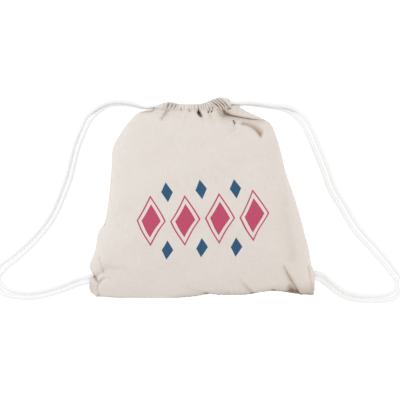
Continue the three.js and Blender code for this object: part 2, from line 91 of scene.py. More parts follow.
# Folds of the front, each along a line in plan: start, end, depth at the start and the end (a ridge is
# negative), reach to the left and to the right and power of the profile. Some rows go on with how much
# painted shade darkens the cloth in the fold, a bow of the line to the left, and how far a lip hangs over it
# from the left, or from the right if negative.
FOLD_COLUMNS = (
    "start", "end", "start_depth", "end_depth", "left_reach", "right_reach", "power", "brown", "bow", "lip",
)
PLAIN_FOLD = {"brown": 0.0, "bow": 0.0, "lip": 0.0}
FOLDS = {
    "long fold at the right shoulder":
        ((0.037, 0.1352), (0.094, 0.1252), 0.012, 0.007, 0.0014, 0.0072, 1.2, 0.6, -0.001, 0.0022),
    "roll above the shoulder fold":
        ((0.048, 0.143), (0.094, 0.128), -0.005, -0.003, 0.005, 0.0055, 2.0, 0.0, 0.001),
    "curved fold":
        ((0.065, 0.117), (0.0915, 0.1), 0.0083, 0.0105, 0.007, 0.0022, 1.5, 0.56, 0.0034),
    "slit under the shoulder fold":
        ((0.0495, 0.1225), (0.052, 0.118), 0.005, 0.007, 0.0016, 0.0016, 2.0, 0.58),
    "tail of the slit":
        ((0.0515, 0.117), (0.0495, 0.111), 0.003, 0.001, 0.0014, 0.0014, 1.5, 0.3),
    "crease at the left of the neck":
        ((-0.0552, 0.1372), (-0.0637, 0.1248), 0.006, 0.005, 0.0044, 0.0026, 1.4, 0.08),
    "line along the left shoulder":
        ((-0.0935, 0.1366), (-0.08, 0.1384), 0.002, 0.002, 0.0013, 0.0013, 1.5, 0.3),
    "pocket in the middle of the neck":
        ((-0.0082, 0.1362), (-0.001, 0.1292), 0.022, 0.009, 0.0017, 0.0023, 3.0, 1.0),
    "first pit left of the pocket":
        ((-0.0322, 0.1376), (-0.0316, 0.135), 0.005, 0.004, 0.0013, 0.0013, 2.0, 0.75),
    "second pit left of the pocket":
        ((-0.0198, 0.1356), (-0.0192, 0.1332), 0.004, 0.003, 0.0012, 0.0012, 2.0, 0.5),
    "first pit right of the pocket":
        ((0.0096, 0.137), (0.0094, 0.133), 0.009, 0.007, 0.0012, 0.0012, 2.0, 0.65),
    "second pit right of the pocket":
        ((0.0144, 0.1374), (0.0148, 0.1334), 0.009, 0.007, 0.0012, 0.0012, 2.0, 0.65),
    "crease under the gathers":
        ((0.0232, 0.138), (0.034, 0.13), 0.003, 0.002, 0.0012, 0.0016, 1.5, 0.35),
    "line below the right end of the casing":
        ((0.0385, 0.1385), (0.045, 0.139), 0.005, 0.005, 0.0009, 0.0009, 2.0, 0.7),
    "small crease right of the pocket":
        ((0.011, 0.136), (0.019, 0.119), 0.003, 0.001, 0.002, 0.003, 1.5, 0.1),
    "second small crease":
        ((0.028, 0.134), (0.041, 0.119), 0.003, 0.001, 0.002, 0.003, 1.5, 0.2),
    "soft wrinkle below the slit":
        ((0.052, 0.108), (0.033, 0.09), 0.003, 0.001, 0.002, 0.004, 1.4),
    "soft wrinkle below the pocket":
        ((0.0015, 0.127), (0.005, 0.106), 0.003, 0.001, 0.0036, 0.0024, 1.4),
    "soft ridge left of the pocket":
        ((-0.027, 0.133), (-0.033, 0.109), -0.003, -0.001, 0.003, 0.003, 1.5),
    "soft valley in the left corner":
        ((-0.154, -0.1122), (-0.119, -0.114), 0.0045, 0.002, 0.005, 0.005, 1.6, 0.06, 0.001),
    "line above the left cord":
        ((-0.1618, -0.0955), (-0.1563, -0.116), 0.002, 0.003, 0.002, 0.002, 1.4),
    "upper arc at the left cord":
        ((-0.168, -0.1265), (-0.1535, -0.119), 0.005, 0.002, 0.0026, 0.0026, 1.4, 0.1, 0.003),
    "lower arc at the left cord":
        ((-0.1615, -0.1325), (-0.1455, -0.1285), 0.005, 0.002, 0.0026, 0.0026, 1.4, 0.1, 0.003),
    "short crease at the left cord":
        ((-0.1738, -0.1225), (-0.163, -0.137), 0.012, 0.003, 0.0016, 0.0018, 1.4, 0.6),
    "crease at the left end of the bottom":
        ((-0.1658, -0.14), (-0.1652, -0.154), 0.003, 0.003, 0.0018, 0.0018, 1.4),
    "pocket at the right corner":
        ((0.1575, -0.152), (0.132, -0.11), 0.016, 0.004, 0.007, 0.0016, 1.3, 0.5, 0.0, -0.0022),
    "hollow in the right corner":
        ((0.1462, -0.1545), (0.1402, -0.1385), 0.019, 0.008, 0.0075, 0.0055, 2.0, 0.6),
    "crease below the right cord":
        ((0.169, -0.111), (0.1745, -0.142), 0.004, 0.002, 0.0022, 0.003, 1.4, 0.15),
    "crease at the bottom":
        ((0.083, -0.1525), (0.058, -0.127), 0.011, 0.001, 0.006, 0.0018, 1.3, 0.3),
    "short crease at the middle of the bottom":
        ((0.011, -0.1535), (-0.001, -0.1495), 0.012, 0.002, 0.003, 0.0016, 1.4, 0.5),
    "short crease at the right of the bottom":
        ((0.1185, -0.1495), (0.109, -0.1445), 0.016, 0.003, 0.0034, 0.0018, 1.4, 0.7),
    "left wrinkle of the bottom":
        ((-0.0235, -0.1425), (0.007, -0.1515), 0.002, 0.005, 0.0045, 0.003, 1.5, 0.12),
    "right wrinkle of the bottom":
        ((0.02, -0.144), (0.042, -0.1505), 0.002, 0.004, 0.0045, 0.003, 1.5, 0.1),
    "dent in the left side":
        ((-0.156, -0.042), (-0.112, -0.058), 0.005, 0.001, 0.008, 0.01, 1.5),
    "upper wrinkle of the left side":
        ((-0.146, 0.028), (-0.124, 0.018), 0.003, 0.001, 0.004, 0.006, 1.5),
    "lower wrinkle of the left side":
        ((-0.146, -0.008), (-0.13, -0.023), 0.003, 0.001, 0.004, 0.006, 1.5),
    "hollow beside the right seam":
        ((0.128, 0.0), (0.143, -0.095), 0.002, 0.004, 0.007, 0.011, 2.0, 0.1),
}
FOLD_END_SHARE = 0.2
# A lip stands this many reaches back from its fold and is this many reaches wide
LIP_BACK = 1.2
LIP_WIDTH = 1.3

# Where a cord's end draws a side seam in: side, place along the seam, how far in, reach
PINCHES = ((-1, -0.124, 0.0028, 0.0032),)
PINCH_SHARE = 0.12

# Fine creases of worn cotton, scattered by chance: the turn is their main direction
CREASE_COUNT = 120
CREASE_RANGE_X = (-0.16, 0.16)
CREASE_RANGE_Y = (-0.15, 0.13)
CREASE_TURN = math.pi / 2
CREASE_TURN_SPREAD = 0.8
CREASE_LENGTHS = (0.012, 0.045)
CREASE_DEPTHS = (0.0001, 0.0005)
CREASE_BOW = 6
CREASE_REACH = 0.0025
CREASE_POWER = 1.6
# Soft swells of the filled cloth
SWELL_COUNT = 16
SWELL_LENGTHS = (0.045, 0.13)
SWELL_HEIGHT = 0.0011

# Gathers where the cord draws the neck together: place along the neck, how far the valley leans on the way
# up the casing, depth at the sewn edge and at the free edge, reach to either side and how far the valley
# runs down the panel.
GATHERS = (
    (-0.058, 0.001, 0.0014, 0.0016, 0.0016, 0.01),
    (-0.054, 0.003, 0.0012, 0.0064, 0.001, 0.008),
    (-0.051, 0.003, 0.001, 0.0016, 0.0008, 0.006),
    (-0.048, 0.003, 0.0014, 0.0066, 0.001, 0.006),
    (-0.043, 0.003, 0.0012, 0.0064, 0.001, 0.006),
    (-0.0385, 0.002, 0.0012, 0.0018, 0.001, 0.007),
    (-0.032, 0.001, 0.0034, 0.0004, 0.0015, 0.006),
    (-0.027, 0.0005, 0.001, 0.0012, 0.0014, 0.02),
    (-0.0198, 0.0005, 0.0024, 0.0004, 0.0015, 0.006),
    (-0.0155, 0.0, 0.0012, 0.0014, 0.0012, 0.015),
    (-0.0112, 0.0, 0.0014, 0.0022, 0.0009, 0.008),
    (-0.006, 0.0005, 0.0054, 0.0016, 0.0011, 0.014),
    (-0.0015, 0.0, 0.0014, 0.0024, 0.0009, 0.008),
    (0.0025, -0.0005, 0.0012, 0.0026, 0.0009, 0.01),
    (0.0064, -0.001, 0.0012, 0.0022, 0.0009, 0.01),
    (0.0104, -0.002, 0.0034, 0.0008, 0.0012, 0.006),
    (0.0152, -0.004, 0.0034, 0.0008, 0.0012, 0.006),
    (0.0206, -0.01, 0.0022, 0.002, 0.0009, 0.012),
    (0.0258, -0.0118, 0.0076, 0.0036, 0.0012, 0.015),
    (0.031, -0.0134, 0.006, 0.0034, 0.0008, 0.003),
    (0.0362, -0.0142, 0.0056, 0.0072, 0.001, 0.003),
    (0.0414, -0.015, 0.0066, 0.0044, 0.0008, 0.003),
)
# A gather leans on down the panel, as far again on this length
GATHER_LEAN_LENGTH = 0.0135
# Painted shade in a gather's valley: at this depth it is full, and it grows by this power of the depth
GATHER_SHADE_DEPTH = 0.0068
GATHER_SHADE_POWER = 1.6
# Length of cloth that v from 0 to 1 stands for, near the neck
NECK_ROW_LENGTH = 0.215

# Side and bottom seams: the step of the turned-in cloth, which rises at the seam and falls at the far side,
# and the puckers of the stitches, which leave the very edge flat
SEAM_ALLOWANCE = 0.008
SEAM_STEP = 0.0007
SEAM_STEP_FALL = 0.0015
SEAM_STEP_RISE = 0.003
SEAM_EDGE = 0.0015
PUCKER_LENGTH = 0.009
PUCKER_HEIGHT = 0.0005
PUCKER_REACH = 0.007

# Direction of +Z, and the least length that a vector is divided by
UPWARDS = (0.0, 0.0, 1.0)
SMALLEST_LENGTH = 1e-12

# Cloth grids, with closer rows at the bottom seam and near the neck: where each band starts, and its rows
FRONT_COLUMNS = 226
BACK_COLUMNS = 60
FRONT_BANDS = ((0.0, 18), (0.07, 100), (0.75, 96))
BACK_BANDS = ((0.0, 12), (0.07, 50), (0.75, 30))
CLOTH_THICKNESS = 0.0008
# Gap between the panels, and the shares of a panel beside the seams in which gap and folds grow to full size
PANEL_CLEARANCE = 0.0022
SEAM_SHARE = 0.003
SIDE_EASE = 0.017
BOTTOM_EASE = 0.02

# Cord casings
CASING_HALF_ACROSS = 0.0066
CASING_HALF_THICK = 0.0066
# Where a casing is fuller: place as u, how much fuller, and reach
CASING_POUCHES = ((0.523, 0.0036, 0.265), (-0.62, 0.0012, 0.16))
CASING_POUCH_THICKNESS = 0.8
CASING_GAP = 0.0006
CASING_FULLNESS = 0.7
# Ends of the casings as u, where they reach furthest and where least, and the turn round the casing at which
# the right end reaches least
CASING_LEFT_END = (-1.0, -0.70)
CASING_RIGHT_END = (0.92, 0.695)
CASING_RIGHT_TURN = math.radians(50)
# How fast a casing falls from the middle of the neck to its ends
CASING_ARCH = 1.25
# Hollow round the cord and the deepest gathers, at the ends and where the gathers grip the cord
CASING_HOLLOWS = (0.0043, 0.0033)
CASING_DEEPEST = (0.0018, 0.0030)
GRIP_ENDS = (-0.062, 0.050)
GRIP_BLEND = 0.009
GRIPPED_RADIUS = 0.0031
CASING_STATIONS = 380
CASING_SIDES = 44
CASING_SLOPE_STEP = 0.001
FRONT_CASING_HEIGHTS = (0.0255, 0.043)
BACK_CASING_HEIGHTS = (0.008, 0.008)
FLOOR_CLEARANCE = 0.0002
# Where the stitches hold the panel to the casing, as a turn round it, and the rows that rise to them
SEWN_TURN = math.radians(118)
SEWN_ROWS = 0.055
SEWN_EASE = 0.06
SEWN_CLEARANCE = 0.0003
# How far the deepest folds hang free of the casing, and the rows in which the sewn edge lets go of them
FOLD_RELEASE = 0.6
RELEASE_ROWS = 0.02

# Stitches along the lower edge of a casing: the last ones' places, and how blunt the ends of a stitch are
STITCH_LENGTH = 0.0021
STITCH_RADIUS = 0.00032
STITCH_COUNT = 46
STITCH_ENDS = (-0.96, 0.96)
STITCH_SIDES = 6
STITCH_RINGS = 7
STITCH_BLUNTNESS = 0.02
STITCH_TURN = math.radians(106)
STITCH_LIFT = 0.6

# Drawcords
CORD_DIAMETER = 0.008
CORD_RADIUS = CORD_DIAMETER / 2
CORD_LIFT = 0.0004
CORD_BED = CORD_RADIUS + CORD_LIFT
STRAND_GAP = 0.0005
STRAND_SPACING = CORD_DIAMETER + STRAND_GAP
CORD_SIDES = 24
CORD_STEP = 0.0011
BRAID_RELIEF = 0.00012
BRAID_SINK = 0.5
BRAID_AROUND = 6
BRAID_PITCH = 0.0062
# Points on each piece of a cord's curve, the power that spaces its knots, and the stride of its stated path
CURVE_STEPS = 60
KNOT_POWER = 0.5
# Places along a casing, as u, that its cord goes through, and how far a cord's end goes into the side seam
CASING_STOPS = (-1, -0.75, -0.4, 0, 0.35, 0.65, 0.95)
CORD_TUCK = 0.007

# Routes of the pair of strands on either side, from the casing to the lower corner: x, y of the pair's
# middle, and where unusual, half of their spacing and how far the front and the back one are off the floor
USUAL_STRANDS = (0.0043, 0.0, 0.0)
LEFT_ROUTE = (
    (-0.086, 0.1462, 0.0, 0.0165, 0.003),
    (-0.099, 0.1485, 0.001, 0.0105, 0.001),
    (-0.114, 0.152, 0.0016, 0.005, 0.0),
    (-0.134, 0.154, 0.002),
    (-0.152, 0.1513, 0.0026),
    (-0.17, 0.141, 0.0037),
    (-0.1825, 0.129),
    (-0.191, 0.1127),
    (-0.2037, 0.0805),
    (-0.2098, 0.056),
    (-0.2158, 0.0322),
    (-0.2279, 0.0),
    (-0.2432, -0.0322),
    (-0.2687, -0.0644),
    (-0.302, -0.096, 0.0046),
    (-0.322, -0.112, 0.005),
    (-0.332, -0.131, 0.005),
    (-0.32, -0.148, 0.005),
    (-0.294, -0.1556),
    (-0.267, -0.1554),
    (-0.2416, -0.1498),
    (-0.216, -0.141),
    (-0.199, -0.134, 0.0043, 0.002, 0.002),
    (-0.182, -0.1302, 0.0043, 0.007, 0.007),
)
RIGHT_ROUTE = (
    (0.07, 0.1528, 0.0, 0.0165, 0.0036),
    (0.084, 0.152, 0.0007, 0.009, 0.001),
    (0.1088, 0.1488, 0.0013, 0.005, 0.0),
    (0.136, 0.1444, 0.003),
    (0.151, 0.1365),
    (0.1615, 0.127, 0.0049),
    (0.171, 0.112, 0.005),
    (0.185, 0.0805, 0.005),
    (0.198, 0.0483, 0.005),
    (0.2096, 0.016, 0.005),
    (0.2287, -0.016, 0.005),
    (0.248, -0.0483, 0.0052),
    (0.2765, -0.0805, 0.0052),
    (0.304, -0.113, 0.0048),
    (0.3185, -0.137, 0.005),
    (0.312, -0.1535, 0.005),
    (0.293, -0.1605, 0.0046),
    (0.268, -0.1613),
    (0.242, -0.1586),
    (0.222, -0.1505),
    (0.204, -0.1365, 0.0043, 0.001, 0.001),
    (0.1935, -0.128, 0.0043, 0.004, 0.004),
    (0.1832, -0.1242, 0.0043, 0.008, 0.008),
)

# Cut size of each panel, up to the turned-over hem of its casing
CASING_FLAT = (0.36, 0.048)

# Camera straight above: one pixel of its frame is this wide at the height of the seams
PIXEL_SIZE = 0.0016
FRAME_PIXELS = 400
CAMERA_AIM = (-0.0032, -0.0032, 0.02)
CAMERA_DISTANCE = 2.4
SENSOR_WIDTH = 36.0

# Colours, linear
COTTON = (0.72, 0.665, 0.615, 1.0)
COTTON_DARK = (0.655, 0.595, 0.54, 1.0)
FLECK = (0.40, 0.32, 0.24, 1.0)
PRINT_RED = (0.47, 0.055, 0.125, 1.0)
PRINT_BLUE = (0.010, 0.075, 0.165, 1.0)
# Painted shade: dark warm colour that folds, gathers and the casing's hollow are blended to, standing in for
# the shade that falls in them
PAINTED_RECESS_SHADE = (0.32, 0.160, 0.060, 1.0)
# Painted shade: colour that the cloth is darkened to towards the bottom seam and at the left corner
PAINTED_EDGE_SHADE = (0.20, 0.142, 0.095, 1.0)
CORD_WHITE = (0.865, 0.865, 0.86, 1.0)
CORD_SHADE = (0.825, 0.825, 0.815, 1.0)
THREAD = (0.72, 0.67, 0.60, 1.0)
FLOOR_GREY = (0.35, 0.35, 0.35, 1.0)
WHITE = (1.0, 1.0, 1.0, 1.0)

# Surfaces of the materials, as inputs of the shader
COTTON_SURFACE = {
    "Roughness": 0.92,
    "Specular IOR Level": 0.25,
    "Sheen Weight": 0.12,
    "Sheen Roughness": 0.6,
}
CORD_SURFACE = {"Roughness": 0.9, "Specular IOR Level": 0.2, "Sheen Weight": 0.2}
THREAD_SURFACE = {"Roughness": 0.7}
FLOOR_SURFACE = {
    "Base Color": FLOOR_GREY,
    "Roughness": 0.9,
    "Specular IOR Level": 0.0,
    "Emission Color": WHITE,
    "Emission Strength": 0.8,
}

# Noises of the materials: fineness and levels of detail
NOISES = {
    "yarns": (1.0, 2.0),
    "mottling": (16.0, 3.0),
    "flecks": (520.0, 1.0),
    "wear": (1100.0, 2.0),
    "softness": (95.0, 4.0),
    "fibres": (1.0, 3.0),
    "thread": (3000.0, 2.0),
}
# How a noise turns into a share of a colour: the noise at either end, and the share there if not 0 and 1
SHARES = {
    "yarns": (0.35, 0.65),
    "mottling": (0.4, 0.75, 0.0, 0.35),
    "flecks": (0.79, 0.83, 0.0, 0.5),
    "wear": (0.3, 0.42, 0.72, 1.0),
    "fibres": (0.35, 0.65),
    "thread": (0.3, 0.7),
}
# How much finer the noise is across and along the cloth
WARP_STRETCH = (1400, 55, 1)
WEFT_STRETCH = (55, 1400, 1)
FIBRE_STRETCH = (900, 260, 1)
NO_STRETCH = (1, 1, 1)
# Bumps of the materials: distance and strength
SOFT_BUMP = (0.0006, 0.35)
WEAVE_BUMP = (0.00008, 0.5)
FIBRE_BUMP = (0.0003, 0.4)
# Sockets of the mix node when it mixes colours
MIX_SHARE = 0
MIX_COLOURS = (6, 7)
MIX_RESULT = 2

# Printed design on the front, a row of diamonds with rings and small diamonds between them: its middle on
# the flat cloth, the size of a diamond's place and their number, then the forms as shares of such a place
# and half the width of their soft edges
PRINT_MIDDLE = (0.0, 0.150)
DIAMOND_WIDTH = 0.054
DIAMOND_HEIGHT = 0.092
DIAMOND_COUNT = 4
DIAMOND_CORE = 0.29
RING_INSIDE = 0.39
RING_OUTSIDE = 0.44
SMALL_DIAMOND = 0.17
PRINT_SOFTNESS = 0.005
# Shift on the flat cloth that gives the back and the casings other yarns and flecks than the front
BACK_CLOTH_SHIFT = -2.0
WEAVE_PITCH = 0.0008
# Painted shade, darker towards the bottom seam: how far up it reaches, its share at the left and right part
# of the seam, and where the one passes into the other; and the painted shade at the left corner
EDGE_REACH = 0.034
EDGE_SHADE_SHARES = (0.06, 0.50)
EDGE_CHANGE = (-0.070, -0.020)
SHADED_CORNER = (-0.181, -0.142)
CORNER_REACH = 0.020
CORNER_SHADE_SHARE = 0.25

# Setting
FLOOR_HALF = 4
SKY_STRENGTH = 0.92
LAMP_SIZE = 0.9
# Lamps: name, place, power and colour
LAMPS = (
    ("left_lamp", (-1.5, 0.8, 1.0), 10, (0.93, 0.985, 1.08)),
    ("right_lamp", (1.6, 0.3, 0.8), 5, (1.0, 1.0, 1.0)),
    ("lower_lamp", (0.2, -1.7, 1.1), 1.8, (1.0, 0.86, 0.70)),
)


def smooth(value):
    """Smooth step from 0 to 1."""
    share = np.clip(value, 0, 1)
    return share * share * (3 - 2 * share)


def mix(start, end, share):
    return start + (end - start) * share


def bell(value, power=2):
    """1 at 0, and falling away to either side of it."""
    return np.exp(-np.abs(value) ** power)


def unit(vectors):
    """Vectors of length 1 in the same directions."""
    return vectors / np.maximum(np.linalg.norm(vectors, axis=-1, keepdims=True), SMALLEST_LENGTH)


# Shape of the sack


def sections_at(v):
    """Columns of the sections at v, the share of the way from the bottom seam to the neck."""
    table = np.array(SECTIONS)
    last = len(table) - 1
    place = np.clip(v, 0, 1) * last
    index = np.minimum(place.astype(int), last - 1)
    share = (place - index)[..., None]
    before = table[np.maximum(index - 1, 0)]
    start = table[index]
    end = table[index + 1]
    after = table[np.minimum(index + 2, last)]
    leave = (end - before) / 2
    arrive = (after - start) / 2
    bend = 3 * (end - start) - 2 * leave - arrive
    ease = 2 * (start - end) + leave + arrive
    values = start + share * (leave + share * (bend + share * ease))
    return dict(zip(SECTION_COLUMNS, np.moveaxis(values, -1, 0)))


def across_at(w, v):
    """u from side seam to side seam for the cloth column w: closer together where the sides fall away."""
    crowded = (1 + SIDE_CROWDING) * w - SIDE_CROWDING * w**3
    return mix(crowded, w, smooth((v - 1) / MOUTH_BLEND + 1))


def plan_at(u, v, section):
    """Place in plan, with the waves of the bottom edge."""
    across = (u + 1) / 2
    x = mix(section["left_x"], section["right_x"], across)
    y = mix(section["left_y"], section["right_y"], across)
    sag = section["middle_y"] - (section["left_y"] + section["right_y"]) / 2
    y = y + sag * (1 - u * u)
    for middle, up, reach in BOTTOM_WAVES:
        y = y + up * smooth(1 - v / BOTTOM_WAVE_ROWS) * bell((x - middle) / reach)
    for side, middle, inward, reach in PINCHES:
        near_seam = smooth((side * u - 1) / PINCH_SHARE + 1)
        x = x - side * inward * near_seam * bell((y - middle) / reach)
    return x, y


def dome_at(u, v):
    """Share of the crown reached at u: a full pillow, with shallow arches at the bottom and the mouth."""
    pillow = np.maximum(0, 1 - np.abs(u) ** DOME_POWER) ** (1 / DOME_POWER)
    filled = smooth(v / BOTTOM_BLEND) * smooth((1 - v) / MOUTH_BLEND)
    return mix(1 - u * u, pillow, filled)


def fold_places(fold, x, y):
    """Share of the way along a fold, and the distance to the left of its bowed line."""
    run_x = fold["end"][0] - fold["start"][0]
    run_y = fold["end"][1] - fold["start"][1]
    length = math.hypot(run_x, run_y)
    off_x = x - fold["start"][0]
    off_y = y - fold["start"][1]
    along = (off_x * run_x + off_y * run_y) / length**2
    aside = (off_y * run_x - off_x * run_y) / length
    return along, aside - fold["bow"] * 4 * along * (1 - along)


def fold_shift(fold, x, y):
    """Change that one fold makes in x, y and height, and the painted shade that darkens the cloth there."""
    along, aside = fold_places(fold, x, y)
    fade = smooth(along / FOLD_END_SHARE + 1) * smooth((1 - along) / FOLD_END_SHARE + 1)
    depth = mix(fold["start_depth"], fold["end_depth"], np.clip(along, 0, 1))
    reach = np.where(aside > 0, fold["left_reach"], fold["right_reach"])
    profile = fade * bell(aside / reach, fold["power"])
    height = -depth * profile
    # Painted shade in the fold's valley, as dark as the fold is deep here
    brown = fold["brown"] * profile * depth / max(fold["start_depth"], fold["end_depth"])
    if not fold["lip"]:
        return 0.0, 0.0, height, brown
    side = math.copysign(1, fold["lip"])
    lip_reach = fold["left_reach"] if side > 0 else fold["right_reach"]
    from_lip = (aside * side - LIP_BACK * lip_reach) / (LIP_WIDTH * lip_reach)
    lip = fold["lip"] * fade * bell(from_lip)
    turn = math.atan2(fold["end"][1] - fold["start"][1], fold["end"][0] - fold["start"][0])
    return lip * math.sin(turn), -lip * math.cos(turn), height, brown


def crease_height(x, y):
    """Fine creases scattered over the front."""
    height = np.zeros_like(x)
    for _ in range(CREASE_COUNT):
        middle_x = random.uniform(*CREASE_RANGE_X)
        middle_y = random.uniform(*CREASE_RANGE_Y)
        turn = random.normal(CREASE_TURN, CREASE_TURN_SPREAD)
        half = random.uniform(*CREASE_LENGTHS) / 2
        depth = random.uniform(*CREASE_DEPTHS) * random.choice((-1, 1))
        along = (x - middle_x) * math.cos(turn) + (y - middle_y) * math.sin(turn)
        aside = (y - middle_y) * math.cos(turn) - (x - middle_x) * math.sin(turn)
        bowed = aside - along**2 * random.uniform(-CREASE_BOW, CREASE_BOW)
        profile = bell(bowed / CREASE_REACH, CREASE_POWER)
        height += depth * bell(along / half) * profile
    return height


def swell_height(x, y):
    """Soft swells from the filling."""
    height = np.zeros_like(x)
    for _ in range(SWELL_COUNT):
        turn = random.uniform(0, math.pi)
        number = 2 * math.pi / random.uniform(*SWELL_LENGTHS)
        start = random.uniform(0, 2 * math.pi)
        height += np.sin(number * (x * math.cos(turn) + y * math.sin(turn)) + start)
    return height * SWELL_HEIGHT / math.sqrt(SWELL_COUNT)


def gather_depth(x, up, down):
    """Depth of the gathers at x along the neck, at a share up the casing or a distance down the panel."""
    depth = 0.0
    for place, lean, sewn_depth, free_depth, reach, run in GATHERS:
        leaning = lean * (up - down / GATHER_LEAN_LENGTH)
        full = mix(sewn_depth, free_depth, up) * smooth(1 - down / run)
        depth = np.maximum(depth, full * bell((x - place - leaning) / reach))
    return depth


def gather_brown(depth):
    """How much painted shade darkens the cloth in a gather of some depth."""
    return (depth / GATHER_SHADE_DEPTH) ** GATHER_SHADE_POWER


def bottom_seam(u):
    """Height of the bottom seam."""
    bottom = dict(zip(SECTION_COLUMNS, SECTIONS[0]))
    return mix(bottom["seam"], bottom["crown"], dome_at(u, np.zeros_like(u)))


def lowest_front(w, u, v):
    """Height that the front's folds don't go below: the bottom seam's, further up just above the back."""
    apart = PANEL_CLEARANCE * smooth((1 - np.abs(u)) / SEAM_SHARE) * smooth(v / SEAM_SHARE)
    back = back_points(w, v)[..., 2]
    return mix(bottom_seam(u), back, smooth(v / BACK_BOTTOM_SHARE)) + apart


def all_folds(x, y):
    """Change that all folds make in x, y and height, and the painted shade that darkens the cloth in them.
    """
    shift_x = np.zeros_like(x)
    shift_y = np.zeros_like(x)
    height = np.zeros_like(x)
    brown = np.zeros_like(x)
    for row in FOLDS.values():
        change = fold_shift(PLAIN_FOLD | dict(zip(FOLD_COLUMNS, row)), x, y)
        shift_x = shift_x + change[0]
        shift_y = shift_y + change[1]
        height = height + change[2]
        brown = np.maximum(brown, change[3])
    return shift_x, shift_y, height, brown


def front_points(w, v):
    """Outside of the front panel with its neck laid up on the casing, the painted shade that darkens its
    folds and gathers, and the plain sack that its print was laid out on.
    """
    section = sections_at(v)
    u = across_at(w, v)
    x, y = plan_at(u, v, section)
    height = mix(section["seam"] + section["split"] / 2, section["crown"], dome_at(u, v))
    neck = sections_at(np.ones_like(v))
    neck_x = mix(neck["left_x"], neck["right_x"], (w + 1) / 2)
    gathers = gather_depth(neck_x, 0.0, (1 - v) * NECK_ROW_LENGTH)
    shift_x, shift_y, fold_height, folded = all_folds(x, y)
    relief = crease_height(x, y) + swell_height(x, y) - gathers + fold_height
    edge = smooth((1 - np.abs(u)) / SIDE_EASE) * smooth(v / BOTTOM_EASE)
    plain = np.stack((x, y, height), axis=-1)
    height = np.maximum(height + edge * relief, lowest_front(w, u, v))
    points = np.stack((x + edge * shift_x, y + edge * shift_y, height), axis=-1)
    sewn = casing_points(u, np.full_like(u, SEWN_TURN), FRONT_CASING_HEIGHTS, -SEWN_CLEARANCE)
    free = FOLD_RELEASE * folded * smooth((1 - v) / RELEASE_ROWS)
    share = smooth((v - 1) / SEWN_ROWS + 1) * smooth((1 - np.abs(u)) / SEWN_EASE) * (1 - free)
    # Painted shade in the folds and in the valleys of the gathers
    brown = np.maximum(gather_brown(gathers), folded)
    return mix(points, sewn, share[..., None]), edge * brown, plain


def back_points(w, v):
    """Outside of the back panel, flat where it lies on the floor."""
    section = sections_at(v)
    u = across_at(w, v)
    x, y = plan_at(u, v, section)
    side_seam = section["seam"] - section["split"] / 2
    side_turn = np.clip((np.abs(u) - BACK_FLAT_SHARE) / (1 - BACK_FLAT_SHARE), 0, 1) ** BACK_TURN_POWER
    bottom_turn = np.clip(1 - v / BACK_BOTTOM_SHARE, 0, 1) ** BACK_TURN_POWER
    neck_turn = smooth((v - BACK_NECK_START) / (1 - BACK_NECK_START))
    height = np.maximum(side_seam * side_turn, bottom_seam(u) * bottom_turn)
    height = np.maximum(height, BACK_NECK_HEIGHT * neck_turn)
    return np.stack((x, y, height + FLOOR_CLEARANCE), axis=-1)


def grid_normals(points):
    """Unit normals of a grid of points, towards +Z on a level grid."""
    across = np.gradient(points, axis=1)
    along = np.gradient(points, axis=0)
    return unit(np.cross(across, along))


def cloth_lengths(points):
    """Distances along the cloth: from the middle column, from the bottom row and from the nearest side."""
    across = np.linalg.norm(np.diff(points, axis=1), axis=-1)
    along = np.linalg.norm(np.diff(points, axis=0), axis=-1)
    from_left = np.concatenate((np.zeros((len(points), 1)), np.cumsum(across, axis=1)), axis=1)
    from_bottom = np.concatenate((np.zeros((1, points.shape[1])), np.cumsum(along, axis=0)), axis=0)
    middle = from_left[:, points.shape[1] // 2 : points.shape[1] // 2 + 1]
    from_side = np.minimum(from_left, from_left[:, -1:] - from_left)
    return from_left - middle, from_bottom, from_side


def seam_relief(points):
    """Step of the turned-in cloth behind the side seams, and the puckers along side and bottom seams."""
    _, from_bottom, from_side = cloth_lengths(points)
    turned_in = smooth((SEAM_ALLOWANCE - from_side) / SEAM_STEP_FALL + 0.5)
    step = SEAM_STEP * turned_in * smooth(from_side / SEAM_STEP_RISE)
    side_pucker = np.sin(from_bottom * 2 * math.pi / PUCKER_LENGTH) * np.exp(-from_side / PUCKER_REACH)
    from_left = points[..., 0] * 2 * math.pi / PUCKER_LENGTH
    bottom_pucker = np.sin(from_left) * np.exp(-from_bottom / PUCKER_REACH)
    open_edge = smooth(from_side / SEAM_EDGE) * smooth(from_bottom / SEAM_EDGE)
    return step + PUCKER_HEIGHT * open_edge * (side_pucker + bottom_pucker)


def edge_grey(points):
    """How much painted shade darkens the cloth towards the bottom seam and at the left corner."""
    _, from_bottom, _ = cloth_lengths(points)
    from_corner = np.linalg.norm(points[..., :2] - np.array(SHADED_CORNER), axis=-1)
    corner = CORNER_SHADE_SHARE * smooth(1 - from_corner / CORNER_REACH)
    change = (points[..., 0] - EDGE_CHANGE[0]) / (EDGE_CHANGE[1] - EDGE_CHANGE[0])
    edge = mix(*EDGE_SHADE_SHARES, smooth(change))
    return np.maximum(edge * smooth(1 - from_bottom / EDGE_REACH), corner)


# Meshes


def add_object(name, data):
    thing = bpy.data.objects.new(name, data)
    bpy.context.collection.objects.link(thing)
    return thing


